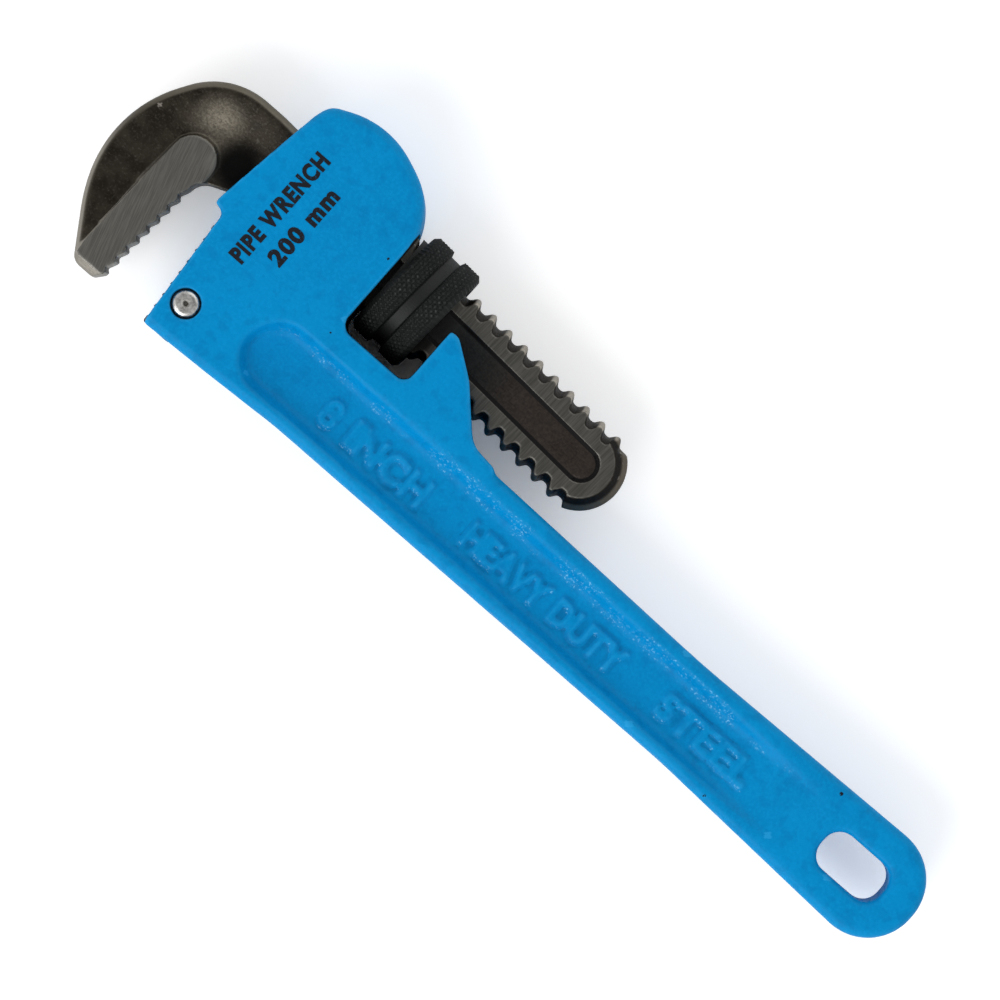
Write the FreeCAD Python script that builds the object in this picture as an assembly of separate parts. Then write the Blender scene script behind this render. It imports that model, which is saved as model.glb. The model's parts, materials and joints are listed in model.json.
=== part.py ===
"""Pipe wrench, 200 mm class: cast handle, sliding hook jaw, pinned heel jaw, adjusting nut and springs.

Built lying flat in millimetres. +X runs along the handle towards the hang slot, +Y towards the nut side
and +Z up. All shapes are made about the centre of the nut's bore, and are then moved together so that the
origin is the middle of the wrench's footprint, on the plane it rests on.
"""
import FreeCAD, Part
import math
import os

V = FreeCAD.Vector

# Head and handle
HEAD_HALF = 11.3             # half thickness of the housing
RIM_HALF = 6.6               # half thickness of the handle's rims near the head
END_HALF = 6.2               # half thickness at the hang slot
BACK_CENTRE = (-22.6, 0.95)  # middle of the round back of the housing
BACK_RADIUS = 17.8
RECESS_DEPTH = 3.0           # depth of the web below the rims, on each side
HANDLE_EDGE = 1.9            # rounding along the handle and the back of the housing
SLOT_SIZE = (13.6, 7.7)      # hang slot
SLOT_CENTRE = (123.0, -23.95)

# Window for the nut and channel for the shank
WINDOW = (-6.35, 8.45)       # walls of the window along X
WINDOW_FLOOR = -12.05
CHANNEL_HALF = 5.85          # half width of the channel between the cheeks
CHANNEL_GAP = 0.45           # gap from the thread crests to the back wall of the channel
CHANNEL_FLOOR = -9.7

# Shank and thread
SHANK_TILT = 3.34            # the shank leans this far from the handle's axis at rest
SHANK_HALF = 4.2             # half thickness between its flats
CREST_R = 8.13
ROOT_R = 6.75
PITCH = 3.8156
CREST_PHASE = 0.609          # place along the shank of a crest on its +Y side
THREAD_START = -15.0
THREAD_END = 44.5
TAIL_CENTRE = 40.5           # the tail is round about this point
TAIL_R = 8.5
TAIL_FLAT_R = 6.2            # radius that the tail's bevel leaves on its flats
TAIL_EDGE_HALF = 1.6         # half width of the tail's rim

# Nut
NUT_PLACE = 0.35             # middle of the nut along the shank
NUT_R = 10.95
NUT_LENGTH = 11.0
NUT_CHAMFER = 0.8
NUT_BORE_R = 8.45
NUT_RIDGE_R = 7.05
GROOVE_WIDTH = 2.0
GROOVE_DEPTH = 1.0

# Hook jaw
HOOK_HALF = 5.1              # half thickness of the forged hook
BLOCK_HALF = 5.5             # half thickness of its ground tooth block
HOOK_EDGE = 1.7
HOOK_TOOTH_PITCH = 2.55
HOOK_TOOTH_DEPTH = 0.75
HOOK_TEETH = 8

# Heel jaw and its pin
HEEL_HALF = 5.5
HEEL_TOOTH_PITCH = 2.4
HEEL_TOOTH_DEPTH = 0.8
HEEL_TEETH = 8
HEEL_PROUD = 0.35            # how far the tooth tips stand out of the cheeks
SEAT_GAP = 0.04              # clearance of the heel jaw in its seat
PIN_R = 2.6
PIN_PLACE = (-29.3, -26.9)

# Springs
LEAF_THICKNESS = 0.7
LEAF_HALF = 4.0
LEAF_RANGE = (-27.0, -7.4)
RIVET_X = -10.0
COIL_X = -19.0
COIL_R = 2.1
COIL_WIRE_R = 0.4
COIL_BOTTOM = -17.2
COIL_TURNS = 6


def rounded_outline(corners):
    """Closed wire through corners (x, y, radius), each one rounded by a tangent arc."""
    arcs = []
    for i, (x, y, radius) in enumerate(corners):
        here = V(x, y, 0)
        back = (V(*corners[i - 1][:2], 0) - here).normalize()
        ahead = (V(*corners[(i + 1) % len(corners)][:2], 0) - here).normalize()
        half = back.getAngle(ahead) / 2
        reach = radius / math.tan(half)
        inward = (back + ahead).normalize()
        middle = here + inward * (radius / math.sin(half) - radius)
        arcs.append((here + back * reach, middle, here + ahead * reach))
    edges = []
    for i, (start, middle, end) in enumerate(arcs):
        if start.distanceToPoint(end) > 1e-6:
            edges.append(Part.Arc(start, middle, end).toShape())
        following = arcs[(i + 1) % len(arcs)][0]
        if end.distanceToPoint(following) > 1e-6:
            edges.append(Part.LineSegment(end, following).toShape())
    return Part.Wire(edges)


def plate(corners, low, high):
    """Flat plate of a rounded outline between two heights."""
    face = Part.Face(rounded_outline(corners))
    face.translate(V(0, 0, low))
    return face.extrude(V(0, 0, high - low))


def slab(half):
    """Everything within this distance of the middle plane."""
    return Part.makeBox(400, 400, 2 * half, V(-200, -200, -half))


def on_shank(shape):
    """Turn a shape made along X onto the shank's leaning axis."""
    shape.rotate(V(0, 0, 0), V(0, 0, 1), -SHANK_TILT)
    return shape


def box(low, high):
    """Box between two corners."""
    return Part.makeBox(high[0] - low[0], high[1] - low[1], high[2] - low[2], V(*low))


def shank_y(x, offset):
    """Y of a line parallel to the shank's axis, offset from it, at this X."""
    lean = math.radians(SHANK_TILT)
    return -x * math.tan(lean) + offset / math.cos(lean)


# ---------------------------------------------------------------- handle

def back_corner(angle_a, angle_b):
    """Corner where the tangents of the housing's round back at two angles meet."""
    middle = math.radians((angle_a + angle_b) / 2)
    reach = BACK_RADIUS / math.cos(math.radians((angle_a - angle_b) / 2))
    return BACK_CENTRE[0] + reach * math.cos(middle), BACK_CENTRE[1] + reach * math.sin(middle)


FRONT_FOOT = (-37.35, -10.45)
CHEEK_TOP = (-34.9, -10.65)
CHEEK_NOSE = (-32.9, -34.3)


def handle_outline():
    """Outline of the casting seen from above, with the nut window still filled."""
    return [
        (*CHEEK_NOSE, 0),
        (*CHEEK_TOP, 0.4),
        (*FRONT_FOOT, 0.7),
        (-34.1, 12.6, 0),
        (-33.2, 15.64, 3.6),
        (*back_corner(115, 68), 17.0),
        (*back_corner(68, 21), 13.0),
        (-4.4, 3.2, 0),
        (WINDOW[1], 0.15, 0),
        (10.4, 0.1, 1.2),
        (16.6, -4.3, 8.0),
        (24.4, -12.3, 5.0),
        (30.0, -12.95, 0),
        (30.5, -13.6, 0),
        (80.0, -14.65, 200.0),
        (136.7, -13.4, 9.9),
        (136.7, -34.5, 9.9),
        (86.0, -32.5, 120.0),
        (-4.0, -32.85, 100.0),
        (-19.0, -33.7, 0),
    ]


def side_outline(inset):
    """Thickness of the handle along X as an outline in the XZ plane, inset all round."""
    head, rim, end = HEAD_HALF - inset, RIM_HALF - inset, END_HALF - inset
    upper = [(-60, head, 0), (13, head, 110), (43, rim, 110), (150, end, 0)]
    return upper + [(x, -z, r) for x, z, r in reversed(upper)]


def side_body(inset):
    """Body of the side outline, wide enough along Y to cover the wrench."""
    body = plate(side_outline(inset), -60, 60)
    body.rotate(V(0, 0, 0), V(1, 0, 0), 90)
    return body


def along_outline(edge, from_x, to_x, low_y, high_y):
    """Whether the middle of an edge lies in this stretch of the plan."""
    middle = edge.valueAt((edge.FirstParameter + edge.LastParameter) / 2)
    return from_x < middle.x < to_x and low_y < middle.y < high_y


def rounded_casting():
    """Casting with its long outer edges rounded."""
    body = plate(handle_outline(), -HEAD_HALF - 1, HEAD_HALF + 1).common(side_body(0))
    edges = []
    for edge in body.Edges:
        span = edge.BoundBox
        across = span.XLength < 0.1 and span.YLength > 5
        if min(abs(span.ZMin), abs(span.ZMax)) < END_HALF - 0.5 or across:
            continue
        grip = along_outline(edge, 30.6, 200, -60, 0)
        underside = along_outline(edge, -18.9, 60, -60, -25)
        back = along_outline(edge, -34.05, -4.5, 3.5, 60)
        if grip or underside or back:
            edges.append(edge)
    return body.makeFillet(HANDLE_EDGE, edges)


def web_tool():
    """Both recesses of the I-beam, with their floors parallel to the rims."""
    pocket = [
        (-18.0, -24.2, 4.5),
        (-14.0, -17.6, 5.5),
        (40.0, -18.0, 60.0),
        (112.0, -18.3, 3.5),
        (112.0, -29.7, 3.5),
        (40.0, -29.2, 60.0),
        (-14.0, -29.8, 5.5),
    ]
    prism = plate(pocket, -HEAD_HALF - 5, HEAD_HALF + 5)
    return prism.cut(side_body(RECESS_DEPTH))


def channel_tool():
    """Space for the shank through the head and over the ledge behind the window."""
    wall = CREST_R + CHANNEL_GAP
    front = [
        (-40.0, shank_y(-40, wall), 0),
        (-5.0, shank_y(-5, wall), 0),
        (-5.0, CHANNEL_FLOOR, 0),
        (-29.4, CHANNEL_FLOOR, 4.0),
        (-34.2, -12.9, 1.0),
        (-40.0, -12.9, 0),
    ]
    ledge = [(7.0, 5.0, 0), (32.0, 5.0, 0), (32.0, -11.4, 0), (7.0, -10.6, 0)]
    anchor = box((-15.4, -11.1, -CHANNEL_HALF), (WINDOW[0] + 0.5, CHANNEL_FLOOR + 1, CHANNEL_HALF))
    tools = [plate(front, -CHANNEL_HALF, CHANNEL_HALF), plate(ledge, -CHANNEL_HALF, CHANNEL_HALF)]
    return tools[0].fuse([tools[1], anchor])


def window_tool():
    """Window that holds the nut, open towards the back."""
    corners = [
        (WINDOW[0], 40.0, 0),
        (WINDOW[1], 40.0, 0),
        (WINDOW[1], WINDOW_FLOOR, 1.6),
        (WINDOW[0], WINDOW_FLOOR, 1.9),
    ]
    return plate(corners, -30, 30)


def slot_tool():
    """Hang slot."""
    half_x, half_y = SLOT_SIZE[0] / 2, SLOT_SIZE[1] / 2
    signs = [(-1, -1), (-1, 1), (1, 1), (1, -1)]
    corners = [(SLOT_CENTRE[0] + a * half_x, SLOT_CENTRE[1] + b * half_y, 3.2) for a, b in signs]
    return plate(corners, -30, 30)


def pin_hole(radius):
    """Bore for the heel jaw's pin."""
    return Part.makeCylinder(radius, 60, V(*PIN_PLACE, -30))


def rivet_hole():
    """Blind hole for the leaf's rivet."""
    return Part.makeCylinder(0.9, 3.2, V(RIVET_X, -14.0, 0), V(0, 1, 0))


def coil_hole():
    """Blind hole for the coil spring, wide enough for it to lean with the leaf."""
    return Part.makeCylinder(3.3, 12.0, V(COIL_X + 0.5, -19.2, 0), V(0, 1, 0))


def make_handle():
    """Cast handle and housing."""
    body = rounded_casting()
    body = body.cut(web_tool())
    recess = []
    for edge in body.Edges:
        span = edge.BoundBox
        inside = span.XMin > -19.5 and span.XMax < 113 and span.YMin > -30.5 and span.YMax < -17
        upright = span.ZLength > 2.5 and span.XLength < 1 and span.YLength < 1
        if inside and not upright:
            recess.append(edge)
    body = body.makeFillet(1.4, recess)
    body = body.cut(slot_tool())
    rim = [e for e in body.Edges if 115.5 < e.BoundBox.XMin and e.BoundBox.XMax < 130.5
           and -28.2 < e.BoundBox.YMin and e.BoundBox.YMax < -19.7 and e.BoundBox.ZLength < 1]
    body = body.makeFillet(1.2, rim)
    body = body.cut([window_tool(), channel_tool(), heel_seat()])
    return body.cut([pin_hole(PIN_R + 0.02), rivet_hole(), coil_hole()])


# ---------------------------------------------------------------- heel jaw

def heel_point(along, out):
    """Point on the cheek's front edge, so far down from its top and so far out of it."""
    top, nose = V(*CHEEK_TOP, 0), V(*CHEEK_NOSE, 0)
    down = (nose - top).normalize()
    outward = V(down.y, -down.x, 0)
    return top + down * along + outward * out


def heel_corners(grow, front):
    """Outline of the heel jaw, or of its seat when it is grown."""
    top = heel_point(2.6, front)
    low = heel_point(23.55, front)
    return [
        (low.x, low.y, 0.5 - grow),
        (top.x, top.y, 0.5),
        (-30.2, -10.3 + grow, 2.0),
        (-24.0 + grow, -10.3 + grow, 1.5 + grow),
        (-24.0 + grow, -30.0, 3.0 + grow),
        (-26.5, low.y, 3.0),
    ]


def heel_seat():
    """Seat of the heel jaw, open at the front, at the nose and into the channel."""
    corners = [
        (-40.0, -12.9, 0),
        (-34.6, -12.9, 0),
        (-30.2, CHANNEL_FLOOR + 0.2, 0),
        (-24.0 + SEAT_GAP, CHANNEL_FLOOR + 0.2, 0),
        (-24.0 + SEAT_GAP, -30.0, 3.0),
        (-26.5, -36.0, 0),
        (-40.0, -36.0, 0),
    ]
    return plate(corners, -HEEL_HALF - SEAT_GAP, HEEL_HALF + SEAT_GAP)


def make_heel_jaw():
    """Toothed insert, pinned between the cheeks."""
    body = plate(heel_corners(0, HEEL_PROUD), -HEEL_HALF, HEEL_HALF)
    for i in range(HEEL_TEETH):
        start = 3.5 + i * HEEL_TOOTH_PITCH
        steep = heel_point(start + 0.35, HEEL_PROUD - HEEL_TOOTH_DEPTH)
        first, last = heel_point(start, 2), heel_point(start + HEEL_TOOTH_PITCH - 0.3, 2)
        inner = heel_point(start + HEEL_TOOTH_PITCH - 0.3, HEEL_PROUD)
        outer = heel_point(start, HEEL_PROUD)
        notch = Part.Face(Part.makePolygon([first, outer, steep, inner, last, first]))
        notch.translate(V(0, 0, -10))
        body = body.cut(notch.extrude(V(0, 0, 20)))
    return body.cut(pin_hole(PIN_R + 0.02))


def make_heel_pin():
    """Cross pin with domed and dimpled ends, just below the faces of the housing."""
    end = HEAD_HALF - 0.15
    body = Part.makeCylinder(PIN_R, 2 * end, V(*PIN_PLACE, -end))
    rims = [e for e in body.Edges if abs(e.CenterOfMass.z) > end - 0.1]
    body = body.makeFillet(1.1, rims)
    for side in (-1, 1):
        dimple = Part.makeCone(0.75, 0.25, 0.5, V(*PIN_PLACE, side * end), V(0, 0, -side))
        body = body.cut(dimple)
    return body


# ---------------------------------------------------------------- thread

def helix_ridge(profile, first_u, last_u, phase):
    """Solid ridge wound right-handed about X; profile is (radius, place along the axis) points.

    The profile's zero passes the +Y side at the place called phase.
    """
    start = phase - PITCH * 0.25
    start -= PITCH * math.ceil((start - first_u) / PITCH)
    path = Part.makeLongHelix(PITCH, last_u - start, ROOT_R, 0)
    points = [V(r, 0, w) for r, w in profile]
    ring = Part.makePolygon(points + points[:1])
    ridge = Part.Wire(path.Edges).makePipeShell([ring], True, True)
    ridge.rotate(V(0, 0, 0), V(0, 1, 0), 90)
    ridge.translate(V(start, 0, 0))
    return ridge


CREST_PROFILE = [
    (6.3, -1.70), (6.75, -1.42), (7.8, -0.70), (8.06, -0.42), (CREST_R, -0.15),
    (CREST_R, 0.10), (8.06, 0.30), (7.8, 0.50), (6.75, 1.12), (6.3, 1.38),
]
RIDGE_PROFILE = [(NUT_RIDGE_R, 1.30), (NUT_RIDGE_R, 2.30), (8.4, 3.02), (8.7, 3.02), (8.7, 0.64), (8.4, 0.64)]


# ---------------------------------------------------------------- hook jaw

TOOTH_LOW = (-43.78, -32.5)
TOOTH_TOP = (-42.45, -12.0)


def hook_outline():
    """Back of the forged hook seen from above, with its mouth still filled."""
    return [
        (-29.0, shank_y(-29, ROOT_R), 0),
        (-38.0, 9.04, 6.0),
        (-50.3, 9.05, 14.4),
        (-62.2, -10.15, 24.0),
        (-56.0, -24.3, 30.0),
        (-49.5, -34.3, 2.4),
        (-35.0, -34.3, 0),
        (-29.0, shank_y(-29, -ROOT_R), 0),
    ]


def hook_mouth():
    """Space in front of the hook's tooth line and under its neck."""
    corners = [
        (-45.6, -34.8, 0),
        (*TOOTH_LOW, 1.6),
        (-42.3, -9.4, 3.5),
        (-31.6, shank_y(-31.6, -ROOT_R), 8.0),
        (-28.0, shank_y(-28, -ROOT_R), 0),
        (-28.0, -34.8, 0),
    ]
    return plate(corners, -20, 20)


def tooth_block():
    """Ground block that carries the hook's teeth."""
    corners = [
        (-49.3, -3.1, 3.9),
        (-41.2, -3.1, 3.9),
        (-41.2, -12.0, 0),
        (-42.0, -33.0, 0),
        (-50.2, -33.0, 1.0),
        (-49.9, -20.0, 60.0),
    ]
    return plate(corners, -BLOCK_HALF, BLOCK_HALF)


def hook_notches():
    """Cuts between the hook's teeth; the steep flanks face the throat."""
    low, top = V(*TOOTH_LOW, 0), V(*TOOTH_TOP, 0)
    rise = (top - low).normalize()
    inward = V(-rise.y, rise.x, 0)
    cuts = []
    for i in range(HOOK_TEETH):
        tip = low + rise * (0.6 + i * HOOK_TOOTH_PITCH)
        deep = tip + rise * 0.4 + inward * HOOK_TOOTH_DEPTH
        end = tip + rise * (HOOK_TOOTH_PITCH - 0.3)
        points = [tip - inward * 2, tip, deep, end, end - inward * 2, tip - inward * 2]
        notch = Part.Face(Part.makePolygon(points))
        notch.translate(V(0, 0, -10))
        cuts.append(notch.extrude(V(0, 0, 20)))
    return cuts


def make_hook_head():
    """Hook with rounded back edges, and its tooth block."""
    head = plate(hook_outline(), -HOOK_HALF, HOOK_HALF)
    edges = []
    for edge in head.Edges:
        back = along_outline(edge, -70, -36, -60, 60) or along_outline(edge, -70, -29.5, 8, 60)
        if back and edge.BoundBox.ZLength < 1:
            edges.append(edge)
    head = head.makeFillet(HOOK_EDGE, edges)
    block = tooth_block().common(plate(hook_outline(), -20, 20))
    return head.fuse(block).cut([hook_mouth()] + hook_notches())


def stadium(half_width, first_u, last_u, low, high):
    """Plate with round ends about the shank's axis."""
    corners = [
        (first_u, -half_width, half_width * 0.98),
        (last_u, -half_width, half_width * 0.98),
        (last_u, half_width, half_width * 0.98),
        (first_u, half_width, half_width * 0.98),
    ]
    return plate(corners, low, high)


def tail_disc():
    """Round tail, bevelled towards both flats."""
    bevel = SHANK_HALF - TAIL_EDGE_HALF
    disc = Part.makeCylinder(TAIL_R, 2 * TAIL_EDGE_HALF, V(TAIL_CENTRE, 0, -TAIL_EDGE_HALF))
    upper = Part.makeCone(TAIL_R, TAIL_FLAT_R, bevel, V(TAIL_CENTRE, 0, TAIL_EDGE_HALF))
    lower = Part.makeCone(TAIL_FLAT_R, TAIL_R, bevel, V(TAIL_CENTRE, 0, -SHANK_HALF))
    return disc.fuse([upper, lower])


def make_shank():
    """Flat-sided threaded shank, along X."""
    tail = tail_disc()
    reach = Part.makeCylinder(30, 31 + TAIL_CENTRE, V(-31, 0, 0), V(1, 0, 0)).fuse(tail)
    core = Part.makeCylinder(ROOT_R, 80, V(-31, 0, 0), V(1, 0, 0))
    thread = helix_ridge(CREST_PROFILE, THREAD_START, THREAD_END, CREST_PHASE)
    bar = core.common(slab(SHANK_HALF)).common(reach)
    teeth = thread.common(slab(SHANK_HALF)).common(reach)
    bar = bar.fuse(teeth)
    for side in (-1, 1):
        outer = sorted((side * (SHANK_HALF - 0.8), side * (SHANK_HALF + 1)))
        inner = sorted((side * (SHANK_HALF - 1.2), side * (SHANK_HALF - 0.35)))
        bar = bar.cut(stadium(3.2, -11.0, 44.1, *outer))
        bar = bar.fuse(stadium(2.55, -10.3, 43.4, *inner))
    return bar


def make_hook_jaw():
    """Forged hook jaw with its threaded shank."""
    return make_hook_head().fuse(on_shank(make_shank())).removeSplitter()


# ---------------------------------------------------------------- nut

def make_nut():
    """Adjusting nut with an internal thread."""
    low, high = NUT_PLACE - NUT_LENGTH / 2, NUT_PLACE + NUT_LENGTH / 2
    waist, edge = NUT_R - GROOVE_DEPTH, GROOVE_WIDTH / 2
    half_profile = [
        (low, NUT_BORE_R + 0.3),
        (low, NUT_R - NUT_CHAMFER),
        (low + NUT_CHAMFER, NUT_R),
        (NUT_PLACE - edge - 0.4, NUT_R),
        (NUT_PLACE - edge, waist),
        (NUT_PLACE + edge, waist),
        (NUT_PLACE + edge + 0.4, NUT_R),
        (high - NUT_CHAMFER, NUT_R),
        (high, NUT_R - NUT_CHAMFER),
        (high, NUT_BORE_R + 0.3),
        (high - 0.3, NUT_BORE_R),
        (low + 0.3, NUT_BORE_R),
    ]
    points = [V(u, r, 0) for u, r in half_profile]
    section = Part.Face(Part.makePolygon(points + points[:1]))
    body = section.revolve(V(0, 0, 0), V(1, 0, 0), 360)
    ridge = helix_ridge(RIDGE_PROFILE, low - 2 * PITCH, high + PITCH, CREST_PHASE)
    ridge = ridge.common(Part.makeCylinder(20, NUT_LENGTH - 0.6, V(low + 0.3, 0, 0), V(1, 0, 0)))
    return on_shank(body.fuse(ridge))


# ---------------------------------------------------------------- springs

def make_leaf():
    """Leaf under the shank, stepped down where the rivet holds it."""
    top = -CREST_R - 0.17
    step = top - 1.6
    first, last = LEAF_RANGE
    line = [(first, top), (-14.6, top), (-12.6, step), (last, step)]
    under = [(x, y - LEAF_THICKNESS) for x, y in reversed(line)]
    outline = [(x, y, 0.3) for x, y in line + under]
    leaf = on_shank(plate(outline, -LEAF_HALF, LEAF_HALF))
    hole = plate([(RIVET_X - 1.75, -1.1, 1.0), (RIVET_X + 1.15, -1.1, 1.0),
                  (RIVET_X + 1.15, 1.1, 1.0), (RIVET_X - 1.75, 1.1, 1.0)], 5, 15)
    hole.rotate(V(0, 0, 0), V(1, 0, 0), 90)
    return leaf.cut(hole)


def make_rivet():
    """Headed rivet of the leaf."""
    stem = Part.makeCylinder(0.9, 4.9, V(RIVET_X, -13.9, 0), V(0, 1, 0))
    head = Part.makeCylinder(1.9, 0.65, V(RIVET_X, -9.12, 0), V(0, 1, 0))
    head = head.makeFillet(0.3, [e for e in head.Edges if e.Length > 5 and e.CenterOfMass.y > -8.6])
    return stem.fuse(head)


def make_coil():
    """Coil spring under the leaf."""
    top = shank_y(COIL_X, -CREST_R - 0.17 - LEAF_THICKNESS) - COIL_WIRE_R - 0.22
    height = top - COIL_BOTTOM
    path = Part.makeLongHelix(height / COIL_TURNS, height, COIL_R, 0)
    ring = Part.Wire(Part.Circle(V(COIL_R, 0, 0), V(0, 1, 0), COIL_WIRE_R).toShape())
    coil = Part.Wire(path.Edges).makePipeShell([ring], True, True)
    coil.rotate(V(0, 0, 0), V(1, 0, 0), -90)
    coil.translate(V(COIL_X, COIL_BOTTOM, 0))
    return coil


PIECES = {
    "handle": make_handle,
    "heel_jaw": make_heel_jaw,
    "heel_jaw_pin": make_heel_pin,
    "hook_jaw": make_hook_jaw,
    "adjusting_nut": make_nut,
    "flat_spring": make_leaf,
    "flat_spring_rivet": make_rivet,
    "coil_spring": make_coil,
}


def main():
    """Build every piece, move all to the wrench's own frame and write them."""
    os.makedirs("parts", exist_ok=True)
    shapes = {name: make() for name, make in PIECES.items()}
    whole = Part.makeCompound(list(shapes.values())).optimalBoundingBox()
    shift = V(-(whole.XMin + whole.XMax) / 2, -(whole.YMin + whole.YMax) / 2, -whole.ZMin)
    print("shift", [round(c, 4) for c in shift], "size", whole.XLength, whole.YLength, whole.ZLength)
    for name, shape in shapes.items():
        shape.translate(shift)
        print(name, "solids", len(shape.Solids), "valid", shape.isValid(), "volume", round(shape.Volume, 1))
        shape.exportStep(os.path.join("parts", name + ".step"))


main()
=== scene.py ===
"""Looks of the pipe wrench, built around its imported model.

Shapes and finishes are laid out in millimetres about the middle of the nut's bore: X runs along the handle
towards the hang slot, Y towards the back of the housing and Z up. Along the shank the directions are U, V, W.
"""
import json
import math

import bmesh
import bpy
from mathutils import Matrix, Vector
from mathutils.bvhtree import BVHTree
from mathutils.kdtree import KDTree


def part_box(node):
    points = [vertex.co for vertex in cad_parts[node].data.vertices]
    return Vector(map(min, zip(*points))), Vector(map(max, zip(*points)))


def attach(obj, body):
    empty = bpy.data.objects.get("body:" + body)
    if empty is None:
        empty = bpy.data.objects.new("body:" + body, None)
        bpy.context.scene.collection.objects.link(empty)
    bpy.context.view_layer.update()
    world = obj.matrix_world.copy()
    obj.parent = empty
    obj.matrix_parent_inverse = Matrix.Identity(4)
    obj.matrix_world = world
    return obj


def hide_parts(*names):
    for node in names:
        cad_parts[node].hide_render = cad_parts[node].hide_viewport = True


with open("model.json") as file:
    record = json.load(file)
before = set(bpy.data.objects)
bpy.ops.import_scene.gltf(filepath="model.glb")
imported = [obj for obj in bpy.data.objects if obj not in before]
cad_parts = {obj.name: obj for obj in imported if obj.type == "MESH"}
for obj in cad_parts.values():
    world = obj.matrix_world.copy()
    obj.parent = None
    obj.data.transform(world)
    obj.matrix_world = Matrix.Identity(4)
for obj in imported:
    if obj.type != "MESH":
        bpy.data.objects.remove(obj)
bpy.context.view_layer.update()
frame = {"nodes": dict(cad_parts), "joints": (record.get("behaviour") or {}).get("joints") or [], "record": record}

MM = 0.001
NUT_PLACE = 0.35                # middle of the nut along the shank
NUT_SPIN = next(j for j in frame["joints"] if j["name"] == "nut_spin")
SHANK_AXIS = Vector(NUT_SPIN["axis"]).normalized()
ORIGIN = Vector(NUT_SPIN["pos_m"]) - SHANK_AXIS * NUT_PLACE * MM
SHANK_TILT = math.atan2(-SHANK_AXIS.y, SHANK_AXIS.x)
DRAWING = Matrix.Translation(ORIGIN) @ Matrix.Scale(MM, 4)
SHANK = DRAWING @ Matrix.Rotation(-SHANK_TILT, 4, "Z")

# Handle
HEAD_HALF = 11.3                # half thickness of the housing
WINDOW = (-6.35, 8.45)          # X of the walls of the nut's window
WINDOW_FLOOR = -12.05
PIN_PLACE = (-29.3, -26.9)
PIN_R = 2.6
# X, Y and radius of each chip in the paint; a radius below zero leaves only the ragged middle
PAINT_CHIPS = ((113.0, -15.7, 0.1), (95.3, -31.7, 0.05), (-8.0, 2.2, 0.0), (-7.0, -14.0, -0.05))
CHIP_FADE = 0.8                 # ragged border of a chip, beyond its radius
WEB_LOW = (-21.0, -33.0)        # corners of the I-beam's recess, with its slopes
WEB_HIGH = (115.0, -15.0)
WEB_FADE = (82.0, 112.0)        # the recess runs out between these places
WEB_SMOOTHING = 45              # steps that turn its walls into slopes
RIM_HALF = 6.3                  # half thickness of the rims where it runs out
RUN_OUT = 0.92                  # share of its depth that it loses there
# Middle and size of each word
CAST_WORDS = (("8 INCH", (12.5, -24.6), (23.6, 5.4)),
              ("HEAVY DUTY", (51.5, -24.4), (35.6, 4.9)),
              ("STEEL", (89.0, -24.3), (20.4, 5.0)))
WORD_RELIEF = 0.65              # height of the cast words
WORD_ROOT = 1.0                 # depth to which they are rooted in the web
CAST_VOXEL = 0.47               # mesh size of the cast skin
CAST_SINK = 0.05                # the cast skin lies this far inside the drawing
LUMP_DEPTH = 0.05
LUMP_SIZE = 2.2
PRINT_DEPTH = (HEAD_HALF - 0.35, HEAD_HALF - 0.01)      # Z of the back and face of the printed lines

# Hook jaw
HOOK_HALF = 5.1                 # half thickness of the hook
BLOCK_GRIND = 17.0              # the block's grinding lines lean this far from Y
HOOK_MIDDLE = (-46.0, -8.0)     # the hook's outer rim faces away from here
HIGHLIGHT_SPOT = (-46.3, 0.3)      # painted highlight on the hook's dish, about this place
HOLLOW_SHADE_SPOT = (-38.3, -3.2)      # and painted shade is blackest in this hollow by the housing
HOOK_START = -30.5              # the forged hook begins here along X
DISH_DEPTH = 1.8
DISH_RIM = (1.0, 9.0)           # the dish starts and is full this far from the outline
DISH_END = HOOK_START + 3.0     # the dish ends here along X
DISH_REACH = (HOOK_HALF - 2.2, HOOK_HALF + 0.08)        # heights that sink with it; the block is higher
JAW_VOXEL = 0.3                 # mesh size of the forging
SHANK_START = -15.5             # the turned shank begins here
PANEL_ISLAND = 3.85             # height of the panel inside its border
PANEL_MARKS = (("STEEL", (19.0, 0.0), (13.5, 3.0)), ("200", (37.0, 0.0), (5.2, 2.8)))
MARK_RELIEF = 0.13
PANEL_END = 40.93               # the panel's round end is about this place on the shank
TAIL_CENTRE = 40.5

# Nut
NUT_R = 10.95
NUT_LENGTH = 11.0
NUT_BORE_R = 8.45
NUT_CHAMFER = 0.8
GROOVE_HALF = 1.0
GROOVE_DEPTH = 1.0
KNURLS = 62
KNURL_ROW = 1.3                 # distance along the nut from one row of points to the next
KNURL_DEPTH = 0.32
KNURL_STEPS = 8                 # points around the nut for each knurl
BAND_STEPS = 24                 # and along each of its two bands
PITCH = 3.8156
CREST_PHASE = 0.609             # place of a crest of the shank's thread
RIDGE_START = -7.4              # places of the ridge are counted from here along the nut
RIDGE_LENGTH = 9.0
RIDGE_STEPS = 96                # points in each turn of the ridge
RIDGE_FADE = 20                 # points over which each of its ends sinks into the bore
# Radius and place of each corner of the ridge
RIDGE_PROFILE = ((7.05, 1.30), (7.05, 2.30), (8.4, 3.02), (8.7, 3.02), (8.7, 0.64), (8.4, 0.64))

# Coil spring
COIL_R = 1.95                   # a little slimmer than its solid, to stay clear of the cast skin
COIL_WIRE_R = 0.4
COIL_TURNS = 6


# ---------------------------------------------------------------- finishes

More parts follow.
